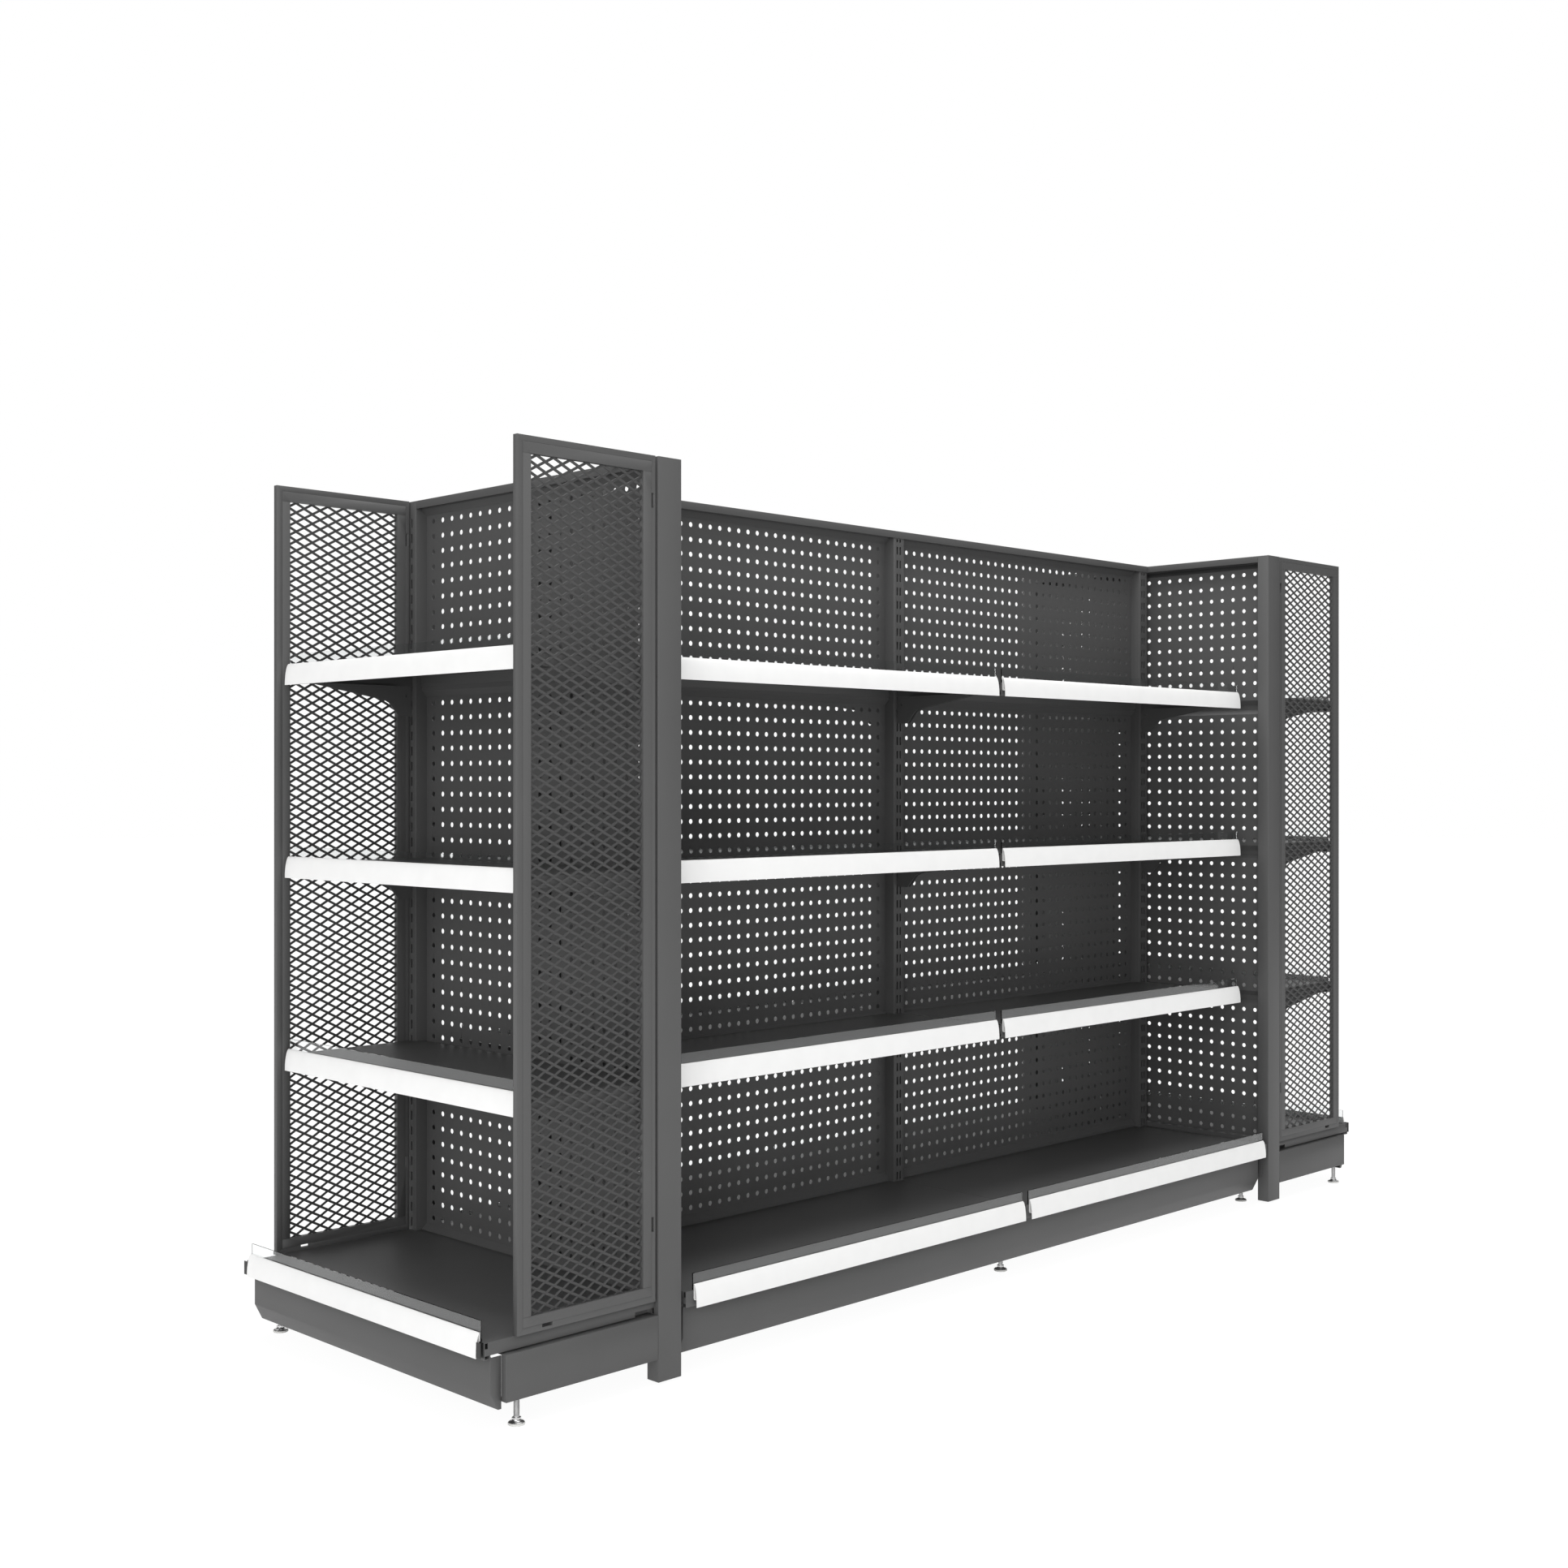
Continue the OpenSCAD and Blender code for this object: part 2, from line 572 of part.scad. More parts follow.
// The deck of the right end cap
module end_deck()
    translate([end_wall_x, 0, 0]) rotate(90) {
        half = corner_y1 - end_deck_inset;
        inner = corner_y0 - fit_gap;
        front = corner_d / 2 + end_deck_depth;
        post_y = -corner_d / 2 - fit_gap;
        foot_z = end_deck_z - skirt_h;
        color(powder_grey) difference() {
            tray(-half, half, -inner, inner, -panel_front_y - fit_gap, -front, post_y, end_deck_z);
            for (x = [-half - over, half - board_t - over])
                block(x, x + board_t + 2 * over, post_y - skirt_step_w, post_y + over,
                      foot_z - over, foot_z + skirt_step_h);
        }
        ticket_strip(-end_strip_w / 2, end_strip_w / 2, -front, deck_z);
        fence(-end_strip_w / 2, end_strip_w / 2, -front, deck_z, end_deck_z);
    }

// A kick plate facing -Y with its face at y, between two bent ends
module kick_plate(x0, x1, y) {
    slope = kick_bevel / (kick_bend_z - kick_low_z);
    color(powder_grey) {
        along_x(x0, x1) polygon([
            [y, kick_top_z], [y, kick_bend_z], [y + kick_bevel, kick_low_z],
            [y + kick_return, kick_low_z], [y + kick_return, kick_low_z + kick_t],
            [y + kick_bevel + kick_t, kick_low_z + kick_t],
            [y + kick_t, kick_bend_z + kick_t * slope], [y + kick_t, kick_top_z]]);
        for (x = [x0, x1 - kick_t])
            along_x(x, x + kick_t) polygon([
                [y + kick_t / 2, kick_return_top_z], [y + kick_return, kick_return_top_z],
                [y + kick_return, kick_low_z + kick_t / 2],
                [y + kick_bevel + kick_t / 2, kick_low_z + kick_t / 2],
                [y + kick_t / 2, kick_bend_z + kick_t * slope / 2]]);
    }
}

module end_kick()
    rotate(90) kick_plate(-corner_y1 + end_kick_inset, corner_y1 - end_kick_inset, -end_kick_x);

// The leg bracket in front of an upright: an open channel that carries the decks and a levelling foot
module leg_bracket(x)
    translate([x, 0, 0]) difference() {
        union() {
            for (side = [-1, 1]) {
                x0 = side * (upright_w - leg_t) / 2 - leg_t / 2;
                block(x0, x0 + leg_t, -leg_front_y, -upright_face - fit_gap, leg_web_z, leg_top_z);
            }
            block(-upright_w / 2, upright_w / 2, -leg_web_y, -upright_face - fit_gap,
                  leg_web_z, leg_web_z + leg_t);
        }
        translate([0, -bay_foot_y, leg_web_z - over])
            cylinder(h = leg_t + 2 * over, d = bolt_d + 2 * fit_gap, $fn = 48);
    }

module leg_brackets()
    color(powder_grey) for (x = bay_foot_x, side = [0, 1]) mirror([0, side, 0]) leg_bracket(x);

// The rear right side plate of the base: a web, two flanges, a bent front end and two deck seats
module side_plate() {
    inner_y = corner_y1 - side_flange_w;
    seat_w = 30;
    difference() {
        union() {
            block(side_plate_x0, side_plate_x1, corner_y1 - leg_t, corner_y1, side_low_z, kick_top_z);
            block(side_plate_x0, side_plate_x1, inner_y, corner_y1, side_low_z, side_low_z + leg_t);
            block(side_plate_x0, side_plate_x1, inner_y, corner_y1, kick_top_z - kick_t, kick_top_z);
            block(side_plate_x1 - leg_t, side_plate_x1, corner_y1 - side_return, corner_y1,
                  side_low_z, kick_top_z);
            for (x = [side_plate_x0 + seat_w, side_plate_x1 - 2 * seat_w])
                block(x, x + seat_w, inner_y, inner_y + leg_t, kick_top_z - kick_t, end_deck_z - board_t);
        }
        translate([end_foot_x, end_foot_y, side_low_z - over])
            cylinder(h = leg_t + 2 * over, d = bolt_d + 2 * fit_gap, $fn = 48);
    }
}

module base_side_plates()
    color(powder_grey) for (x = [0, 1], y = [0, 1]) mirror([x, 0, 0]) mirror([0, y, 0]) side_plate();

// The angle inside the foot of each end wall
module end_wall_sills()
    color(powder_grey) for (side = [0, 1]) mirror([side, 0, 0]) {
        half = corner_y0 - fit_gap;
        block(corner_x0, corner_x0 + rail_t, -half, half, deck_z - skirt_h, sill_top_z);
        block(corner_x0, end_wall_x - panel_t / 2 - fit_gap, -half, half, sill_top_z - rail_t, sill_top_z);
    }

// ---- Levelling feet ----

module levelling_foot(x, y) {
    bolt_z = pad_h + fit_gap;
    hex_z = bolt_z + cone_h;
    translate([x, y, 0]) {
        color(strip_white) rotate_extrude($fn = 64)
            polygon([[0, 0], [pad_d / 2 - 0.6, 0], [pad_d / 2, 0.6], [pad_d / 2, pad_h - 1],
                     [pad_d / 2 - 1, pad_h], [0, pad_h]]);
        color(zinc) {
            rotate_extrude($fn = 64)
                polygon([[0, bolt_z], [pad_d / 2 - 2, bolt_z], [hex_af / 2, hex_z], [0, hex_z]]);
            translate([0, 0, hex_z]) cylinder(h = hex_h, d = hex_af / cos(30), $fn = 6);
            translate([0, 0, hex_z]) cylinder(h = bolt_top_z - hex_z, d = bolt_d, $fn = 48);
        }
    }
}

// ---- Nodes ----

module left() mirror([1, 0, 0]) children();
module front() mirror([0, 1, 0]) children();

upright(-bay_pitch);  // upright_left
upright(0);  // upright_centre
upright(bay_pitch);  // upright_right
left() front() corner_post();  // corner_post_front_left
front() corner_post();  // corner_post_front_right
left() corner_post();  // corner_post_rear_left
corner_post();  // corner_post_rear_right
left() bay_rail();  // top_rail_left_bay
bay_rail();  // top_rail_right_bay
left() end_rail();  // top_rail_left_end
end_rail();  // top_rail_right_end
bay_panels(-bay_pitch);  // peg_panels_left_bay
bay_panels(0);  // peg_panels_right_bay
left() end_panels();  // peg_panels_left_end
end_panels();  // peg_panels_right_end
left() front() mesh_panel();  // mesh_panel_front_left
front() mesh_panel();  // mesh_panel_front_right
left() mesh_panel();  // mesh_panel_rear_left
mesh_panel();  // mesh_panel_rear_right
left() bay_deck();  // base_deck_front_left
bay_deck();  // base_deck_front_right
left() front() bay_deck();  // base_deck_rear_left
front() bay_deck();  // base_deck_rear_right
left() end_deck();  // base_deck_left_end
end_deck();  // base_deck_right_end
kick_plate(-bay_pitch + kick_t, bay_pitch - kick_t, -kick_y);  // kick_plate_front
front() kick_plate(-bay_pitch + kick_t, bay_pitch - kick_t, -kick_y);  // kick_plate_rear
left() end_kick();  // kick_plate_left_end
end_kick();  // kick_plate_right_end
leg_brackets();
base_side_plates();
end_wall_sills();
levelling_foot(-bay_pitch, -bay_foot_y);  // foot_front_left
levelling_foot(0, -bay_foot_y);  // foot_front_centre
levelling_foot(bay_pitch, -bay_foot_y);  // foot_front_right
levelling_foot(-bay_pitch, bay_foot_y);  // foot_rear_left
levelling_foot(0, bay_foot_y);  // foot_rear_centre
levelling_foot(bay_pitch, bay_foot_y);  // foot_rear_right
levelling_foot(-end_foot_x, -end_foot_y);  // foot_left_end_front
levelling_foot(-end_foot_x, end_foot_y);  // foot_left_end_rear
levelling_foot(end_foot_x, -end_foot_y);  // foot_right_end_front
levelling_foot(end_foot_x, end_foot_y);  // foot_right_end_rear
for (n = [1 : 3]) {
    level = levels[n - 1];
    bay_shelf(-bay_pitch / 2, n);
    bay_shelf(bay_pitch / 2, n);
    front() bay_shelf(-bay_pitch / 2, n);
    front() bay_shelf(bay_pitch / 2, n);
    left() end_shelf(n);
    end_shelf(n);
}
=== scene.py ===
"""Looks of the gondola shelving unit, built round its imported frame.
Metres, +X along the run, +Y from the front side to the rear side, +Z up, origin on the floor."""

import json
import math

import bpy
from mathutils import Matrix, Vector


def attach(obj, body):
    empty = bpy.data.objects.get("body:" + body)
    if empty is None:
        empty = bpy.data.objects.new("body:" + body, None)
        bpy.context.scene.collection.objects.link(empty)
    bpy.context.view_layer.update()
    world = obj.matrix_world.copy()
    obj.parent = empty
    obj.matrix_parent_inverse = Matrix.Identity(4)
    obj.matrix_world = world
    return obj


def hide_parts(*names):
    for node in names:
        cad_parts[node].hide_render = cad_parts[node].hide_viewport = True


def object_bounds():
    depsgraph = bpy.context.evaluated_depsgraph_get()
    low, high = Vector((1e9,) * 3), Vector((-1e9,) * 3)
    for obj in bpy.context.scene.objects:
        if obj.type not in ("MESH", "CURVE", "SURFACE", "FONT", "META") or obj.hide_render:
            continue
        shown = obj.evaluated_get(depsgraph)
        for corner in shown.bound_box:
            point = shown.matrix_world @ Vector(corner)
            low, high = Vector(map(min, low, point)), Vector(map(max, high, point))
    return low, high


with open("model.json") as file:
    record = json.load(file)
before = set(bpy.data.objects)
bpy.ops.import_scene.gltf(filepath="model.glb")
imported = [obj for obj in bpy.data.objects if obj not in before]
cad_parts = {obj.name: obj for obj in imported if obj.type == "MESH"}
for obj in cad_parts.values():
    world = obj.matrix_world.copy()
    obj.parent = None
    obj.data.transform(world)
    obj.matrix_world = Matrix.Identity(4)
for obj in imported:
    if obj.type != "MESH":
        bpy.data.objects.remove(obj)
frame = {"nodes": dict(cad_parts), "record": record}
packed_box = [list(corner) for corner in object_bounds()]
nodes = frame["nodes"]


# ---- Shader nodes ----


class Wire:
    """A shader socket in a Python sum. Each operator adds its Math node to the socket's tree."""

    def __init__(self, socket):
        self.socket = socket

    def maths(self, operation, *values):
        node = self.socket.id_data.nodes.new("ShaderNodeMath")
        node.operation = operation
        for place, value in zip(node.inputs, values):
            connect(value, place)
        return Wire(node.outputs[0])

    def __add__(self, other):
        return self.maths("ADD", self, other)

    def __mul__(self, other):
        return self.maths("MULTIPLY", self, other)

    def __or__(self, other):
        return self.maths("MAXIMUM", self, other)

    __radd__ = __add__
    __rmul__ = __mul__


def connect(value, place):
    if isinstance(value, Wire):
        place.id_data.links.new(value.socket, place)
    else:
        place.default_value = value


class Finish:
    """A node tree, and the one method that adds nodes to it."""

    def __init__(self, tree):
        self.tree = tree
        tree.nodes.clear()

    def add(self, kind, settings=(), **sockets):
        """Adds a node: its settings come first, then the values or wires of its sockets.
        A socket is given by its name, or by its number after a low line."""
        node = self.tree.nodes.new("ShaderNode" + kind)
        for name, value in dict(settings).items():
            setattr(node, name, value)
        for name, value in sockets.items():
            spaced = name.replace("_", " ")
            connect(value, node.inputs[spaced] if spaced in node.inputs else node.inputs[int(name[1:])])
        return {out.name: Wire(out) for out in node.outputs if out.enabled}

    def mix(self, amount, first, second):
        """A colour between two others."""
        return self.add("Mix", {"data_type": "RGBA"}, _0=amount, _6=first, _7=second)["Result"]


def new_material(name):
    material = bpy.data.materials.new(name)
    material.use_nodes = True
    return material, Finish(material.node_tree)


def grey(level):
    return (level, level, level, 1.0)


def powder_coat(name, level, sheen=0.35):
    """Dark powder coat: an even colour with a fine orange-peel grain."""
    material, coat = new_material(name)
    place = coat.add("TexCoord")["Object"]
    grain = coat.add("TexNoise", Vector=place, Scale=700.0, Detail=2.0, Roughness=0.6)["Fac"]
    cloud = coat.add("TexNoise", Vector=place, Scale=9.0, Detail=3.0, Roughness=0.5)["Fac"]
    colour = coat.mix(grain * 0.6 + cloud * 0.4, grey(level * 0.85), grey(level * 1.15))
    bump = coat.add("Bump", Strength=0.06, Distance=0.0002, Height=grain)["Normal"]
    shade = coat.add("BsdfPrincipled", Base_Color=colour, Roughness=grain * 0.1 + 0.45,
                     Specular_IOR_Level=sheen, Normal=bump)["BSDF"]
    coat.add("OutputMaterial", Surface=shade)
    return material


def moulded_plastic(name, colour, roughness):
    """Extruded or moulded plastic, with faint flow marks."""
    material, plastic = new_material(name)
    place = plastic.add("TexCoord")["Object"]
    cloud = plastic.add("TexNoise", Vector=place, Scale=30.0, Detail=2.0)["Fac"]
    dim = [c * 0.93 for c in colour[:3]] + [1.0]
    shade = plastic.add("BsdfPrincipled", Base_Color=plastic.mix(cloud, dim, colour),
                        Roughness=cloud * 0.08 + roughness)["BSDF"]
    plastic.add("OutputMaterial", Surface=shade)
    return material


def clear_plastic(name):
    """Clear acrylic sheet with a faint haze."""
    material, sheet = new_material(name)
    place = sheet.add("TexCoord")["Object"]
    haze = sheet.add("TexNoise", Vector=place, Scale=60.0, Detail=2.0)["Fac"]
    shade = sheet.add("BsdfPrincipled", Base_Color=(0.97, 0.985, 0.985, 1.0),
                      Roughness=haze * 0.03 + 0.01, Transmission_Weight=1.0, IOR=1.49)["BSDF"]
    sheet.add("OutputMaterial", Surface=shade)
    return material


def zinc_plate(name):
    """Bright zinc on steel, a little cloudy."""
    material, zinc = new_material(name)
    place = zinc.add("TexCoord")["Object"]
    cloud = zinc.add("TexNoise", Vector=place, Scale=160.0, Detail=3.0)["Fac"]
    shade = zinc.add("BsdfPrincipled", Base_Color=zinc.mix(cloud, grey(0.5), grey(0.75)), Metallic=1.0,
                     Roughness=cloud * 0.2 + 0.22)["BSDF"]
    zinc.add("OutputMaterial", Surface=shade)
    return material


POWDER = powder_coat("powder_coat", 0.085)
STEEL_MESH = powder_coat("mesh_coat", 0.058, 0.3)
STRIP = moulded_plastic("strip_plastic", (0.83, 0.83, 0.825, 1.0), 0.35)
# Near-black for the plates at the base strips' ends: painted shade, standing for the shadowed ends of
# the deck's front flange
SHADE_BLACK = moulded_plastic("painted_shade_black", (0.02, 0.02, 0.02, 1.0), 0.4)
PAD = moulded_plastic("pad_plastic", (0.7, 0.7, 0.68, 1.0), 0.45)
CLEAR = clear_plastic("fence_plastic")
ZINC = zinc_plate("zinc_plate")


def paint(piece, material):
    piece.data.materials.clear()
    piece.data.materials.append(material)


# ---- Pieces ----

SAME_PLACE = 1e-6               # corners of the CAD's triangles that are one
SHARP, SOFT = math.radians(35), math.radians(40)    # edges to round, and edges to smooth
FOLD_ROUND = 0.0008             # rounding of bent posts, rails and kick plates
FRAME_ROUND = 0.0006            # rounding of a mesh panel's frame
BOARD_ROUND = 0.0004            # rounding of a shelf board
HOLE_SHARE = 0.9                # what the coat leaves of a peg hole's width
HOLE_REACH = 0.01               # no punched hole is wider than twice this


def only(piece):
    """Makes one object the selected and active one."""
    bpy.ops.object.select_all(action="DESELECT")
    piece.select_set(True)
    bpy.context.view_layer.objects.active = piece


def apply(piece, kind, **settings):
    """Adds a modifier with its settings and applies it."""
    modifier = piece.modifiers.new(kind.title(), kind)
    for name, value in settings.items():
        setattr(modifier, name, value)
    only(piece)
    bpy.ops.object.modifier_apply(modifier=modifier.name)


def smooth(piece):
    only(piece)
    bpy.ops.object.shade_smooth_by_angle(angle=SOFT)
    return piece


def rounded(piece, width):
    """Rounds a piece's edges and smooths what is round."""
    apply(piece, "BEVEL", width=width, segments=2, limit_method="ANGLE", angle_limit=SHARP)
    return smooth(piece)


def solids_of(node):
    """Copies of a CAD node's separate solids, merged and parted."""
    copy = bpy.data.objects.new(node, nodes[node].data.copy())
    bpy.context.collection.objects.link(copy)
    only(copy)
    bpy.ops.object.mode_set(mode="EDIT")
    bpy.ops.mesh.select_all(action="SELECT")
    bpy.ops.mesh.remove_doubles(threshold=SAME_PLACE)
    bpy.ops.mesh.separate(type="LOOSE")
    bpy.ops.object.mode_set(mode="OBJECT")
    return list(bpy.context.selected_objects)


def corners(piece):
    """A piece's lowest and highest corner."""
    places = [v.co for v in piece.data.vertices]
    return (Vector(min(p[i] for p in places) for i in range(3)),
            Vector(max(p[i] for p in places) for i in range(3)))


def finish_piece(piece, name, material, body):
    """Names and paints a piece, and gives it its slot and the body it rides on."""
    piece.name = piece.data.name = name
    paint(piece, material)
    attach(piece, body)


def body_of(node):
    return next(b for b, members in frame["record"]["behaviour"]["bodies"].items() if node in members)


def join(pieces):
    """Makes one piece of several."""
    bpy.ops.object.select_all(action="DESELECT")
    for piece in pieces:
        piece.select_set(True)
    bpy.context.view_layer.objects.active = pieces[0]
    bpy.ops.object.join()
    return pieces[0]


# Label strips, along X, with their backs at y = 0 and their feet at z = 0
STRIP_OUT, STRIP_HIGH, STRIP_WALL = 0.0083, 0.038, 0.0014
RIB_TOP = 0.0135                # height of the rib across a strip's hollow
BOW_STEPS = 18                  # facets of a strip's bowed front
# Near-black plates at the base strips' ends: painted shade where the deck's flange end lies in shadow
SHADE_PLATE_FIRST, SHADE_PLATE_LAST = 0.0004, 0.0108      # how far the painted-shade plates reach past the strip's end
SHADE_PLATE_LEAVES = (0.0004, STRIP_OUT - 0.0022)  # where a painted-shade plate's back and front leaf stand
SHADE_PLATE_WALL = 0.0014
SHADE_PLATE_FOOT, SHADE_PLATE_TOP = 0.0020, 0.0250


def prism(outline, first, last):
    """A solid along X between two places.
    Its outline holds distances in front of the board, and heights."""
    bpy.ops.object.select_all(action="DESELECT")
    bpy.ops.mesh.primitive_circle_add(vertices=len(outline), fill_type="NGON")
    piece = bpy.context.active_object
    for corner, (out, height) in zip(piece.data.vertices, outline):
        corner.co = ((first + last) / 2, -out, height)
    apply(piece, "SOLIDIFY", thickness=last - first, offset=0)
    only(piece)
    bpy.ops.object.mode_set(mode="EDIT")
    bpy.ops.mesh.select_all(action="SELECT")
    bpy.ops.mesh.normals_make_consistent(inside=False)
    bpy.ops.object.mode_set(mode="OBJECT")
    return piece


def box_outline(out_0, out_1, z0, z1):
    return [(out_0, z0), (out_1, z0), (out_1, z1), (out_0, z1)]


def strip_model(length):
    """A label strip: a bowed front that ends upright, a back wall and a rib across its hollow."""
    turns = [math.radians(90 * n / BOW_STEPS) for n in range(BOW_STEPS + 1)]
    hollow_out, hollow_high = STRIP_OUT - STRIP_WALL, STRIP_HIGH - STRIP_WALL
    front = [(STRIP_OUT * math.cos(t), STRIP_HIGH * math.sin(t)) for t in turns]
    inside = [(hollow_out * math.cos(t), hollow_high * math.sin(t)) for t in turns]
    back = box_outline(0, STRIP_WALL, RIB_TOP, STRIP_HIGH - STRIP_WALL / 2)
    rib = box_outline(STRIP_WALL / 2, hollow_out, RIB_TOP - STRIP_WALL, RIB_TOP)
    outlines = (front + inside[::-1], back, rib)
    return smooth(join([prism(outline, -length / 2, length / 2) for outline in outlines]))


def end_shade_plates(length):
    """Painted shade: two near-black plates just past both ends of the strip, standing for the shadowed
    ends of the holder and the deck's front flange.
    """
    pieces = []
    for side in (-1, 1):
        ends = sorted(side * (length / 2 + past) for past in (SHADE_PLATE_FIRST, SHADE_PLATE_LAST))
        for out in SHADE_PLATE_LEAVES:
            pieces.append(prism(box_outline(out, out + SHADE_PLATE_WALL, SHADE_PLATE_FOOT, SHADE_PLATE_TOP), *ends))
    return join(pieces)


def in_front(model, solid):
    """A copy of a model, set where a CAD strip lies and turned to face away from the unit."""
    low, high = corners(solid)
    span, middle = high - low, (low + high) / 2
    if span.x > span.y:
        turn = 0 if middle.y < 0 else 180
        foot = Vector((middle.x, high.y if middle.y < 0 else low.y, low.z))
    else:
        turn = -90 if middle.x < 0 else 90
        foot = Vector((high.x if middle.x < 0 else low.x, middle.y, low.z))
    copy = bpy.data.objects.new("piece", model.data.copy())
    bpy.context.collection.objects.link(copy)
    copy.data.transform(Matrix.Translation(foot) @ Matrix.Rotation(math.radians(turn), 4, "Z"))
    return copy


strip_models = {}


def ticket_strip(solid, kind, make):
    """The strip, or the near-black plates of painted shade at its ends, for a CAD strip, modelled once
    for each length.
    """
    low, high = corners(solid)
    length = max(high.x - low.x, high.y - low.y)
    key = (kind, round(length, 4))
    if key not in strip_models:
        strip_models[key] = make(length)
    return in_front(strip_models[key], solid)


for node in nodes.values():
    paint(node, POWDER)

# Folded sheet: the bends catch the light
FOLDED = ("upright_", "corner_post_", "top_rail_", "kick_plate_", "base_side")
for node in [n for n in nodes if n.startswith(FOLDED)]:
    for n, solid in enumerate(solids_of(node)):
        finish_piece(rounded(solid, FOLD_ROUND), f"{node}_{n + 1}", POWDER, "frame")
        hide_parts(node)


def draw_in_holes(sheet, share):
    """Draws in the edges of a sheet's punched holes, where the coat gathers.
    The corners that a hole's walls share make one ring, and the ring moves towards its middle."""
    low, high = corners(sheet)
    flat = 1 if high.x - low.x > high.y - low.y else 0      # the axis across the sheet
    leader = {}

    def lead(place):
        while leader.setdefault(place, place) != place:
            leader[place] = place = leader[leader[place]]
        return place

    for wall in sheet.data.polygons:
        if abs(wall.normal[flat]) < 0.1:
            first, *others = wall.vertices
            for other in others:
                leader[lead(other)] = lead(first)
    holes = {}
    for place in list(leader):
        holes.setdefault(lead(place), []).append(sheet.data.vertices[place])
    for ring in holes.values():
        middle = sum((v.co for v in ring), Vector()) / len(ring)
        if max((v.co - middle).length for v in ring) < HOLE_REACH:
            for v in ring:
                for way in (1 - flat, 2):
                    v.co[way] = middle[way] + (v.co[way] - middle[way]) * share


for node in [n for n in nodes if n.startswith("peg_panels_")]:
    for n, sheet in enumerate(solids_of(node)):
        draw_in_holes(sheet, HOLE_SHARE)
        finish_piece(sheet, f"{node}_{n + 1}", POWDER, "frame")
        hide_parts(node)



def top_of(piece):
    return corners(piece)[1].z


def spread(piece):
    """The area that a piece covers, seen from above."""
    low, high = corners(piece)
    return (high.x - low.x) * (high.y - low.y)


# Shelves and decks: the fence stands highest, the board spreads widest,
# the strip stands highest of the rest, and what is left is brackets
for node in [n for n in nodes if n.startswith(("shelf_", "base_deck_"))]:
    rest = solids_of(node)
    fence = max(rest, key=top_of)
    rest.remove(fence)
    board = max(rest, key=spread)
    rest.remove(board)
    strip = max(rest, key=top_of)
    rest.remove(strip)
    body = body_of(node)
    finish_piece(rounded(board, BOARD_ROUND), node + "_board", POWDER, body)
    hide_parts(node)
    finish_piece(ticket_strip(strip, "strip", strip_model), node + "_strip", STRIP, body)
    # At the end decks, near-black plates past the strip's ends paint the shade there
    if node.startswith("base_deck_") and node.endswith("_end"):
        finish_piece(ticket_strip(strip, "shade_plates", end_shade_plates), node + "_clips", SHADE_BLACK, body)
    bpy.data.objects.remove(strip)
    finish_piece(fence, node + "_fence", CLEAR, body)
    for n, bracket in enumerate(rest):
        finish_piece(bracket, f"{node}_bracket_{n + 1}", POWDER, body)
for model in strip_models.values():
    bpy.data.objects.remove(model)

# Feet: a threaded bolt that stands in a round pad, modelled once
BOLT_TOP, THREAD_PITCH = 0.080, 0.0015
HEX_RADIUS, HEX_HIGH, HEX_MIDDLE, HEX_ROUND = 0.0075, 0.003, 0.0060, 0.0004
CORE_RADIUS, CORE_LOW, CORE_DOWN = 0.0041, 0.007, 0.001     # start over the dish, end below the top
THREAD_LOW, THREAD_DOWN = 0.002, 0.003      # start over the core's, end below the top
PAD_RADIUS, PAD_RIM, PAD_DISC = 0.01325, 0.0128, 0.0123
PAD_DOWN = 0.0004                           # the pad's disc lies this far below its rim
AXIS = 0.0002                               # radius of the pinhole on a spun piece's axis


def spun(profile, steps=48):
    """A round piece about Z from its half section, a list of radii and heights."""
    bpy.ops.mesh.primitive_circle_add(vertices=len(profile), radius=1)
    piece = bpy.context.active_object
    for corner, (radius, height) in zip(piece.data.vertices, profile):
        corner.co = (radius, 0, height)
    apply(piece, "SCREW", angle=math.radians(360), steps=steps, render_steps=steps,
          use_merge_vertices=True, merge_threshold=SAME_PLACE, use_normal_calculate=True)
    return piece


def levelling_bolt(foot):
    """The zinc-plated half of a foot: dish, low hexagon and thread.
    The dish stands on the height `foot`."""
    dish = spun([(AXIS, foot), (0.0116, foot), (0.0120, foot + 0.0004), (0.0116, foot + 0.0009),
                 (0.0088, foot + 0.0016), (0.0070, foot + 0.0030), (0.0064, foot + 0.0045),
                 (AXIS, foot + 0.0045)])
    bpy.ops.mesh.primitive_cylinder_add(vertices=6, radius=HEX_RADIUS, depth=HEX_HIGH,
                                        location=(0, 0, foot + HEX_MIDDLE))
    hexagon = bpy.context.active_object
    bpy.ops.object.transform_apply()
    apply(hexagon, "BEVEL", width=HEX_ROUND, segments=2)
    core_low, core_top = foot + CORE_LOW, BOLT_TOP - CORE_DOWN
    bpy.ops.mesh.primitive_cylinder_add(vertices=32, radius=CORE_RADIUS, depth=core_top - core_low,
                                        location=(0, 0, (core_top + core_low) / 2))
    core = bpy.context.active_object
    bpy.ops.object.transform_apply()
    bpy.ops.mesh.primitive_circle_add(vertices=3, radius=1)
    thread = bpy.context.active_object
    tooth = [(0.0039, -0.0007), (0.00475, 0.0), (0.0039, 0.0007)]
    for corner, (radius, height) in zip(thread.data.vertices, tooth):
        corner.co = (radius, 0, core_low + THREAD_LOW + height)
    turns = int((BOLT_TOP - THREAD_DOWN - core_low) / THREAD_PITCH)
    apply(thread, "SCREW", angle=math.radians(360), steps=20, render_steps=20, screw_offset=THREAD_PITCH,
          iterations=turns, use_normal_calculate=True)
    return smooth(join([dish, hexagon, core, thread]))


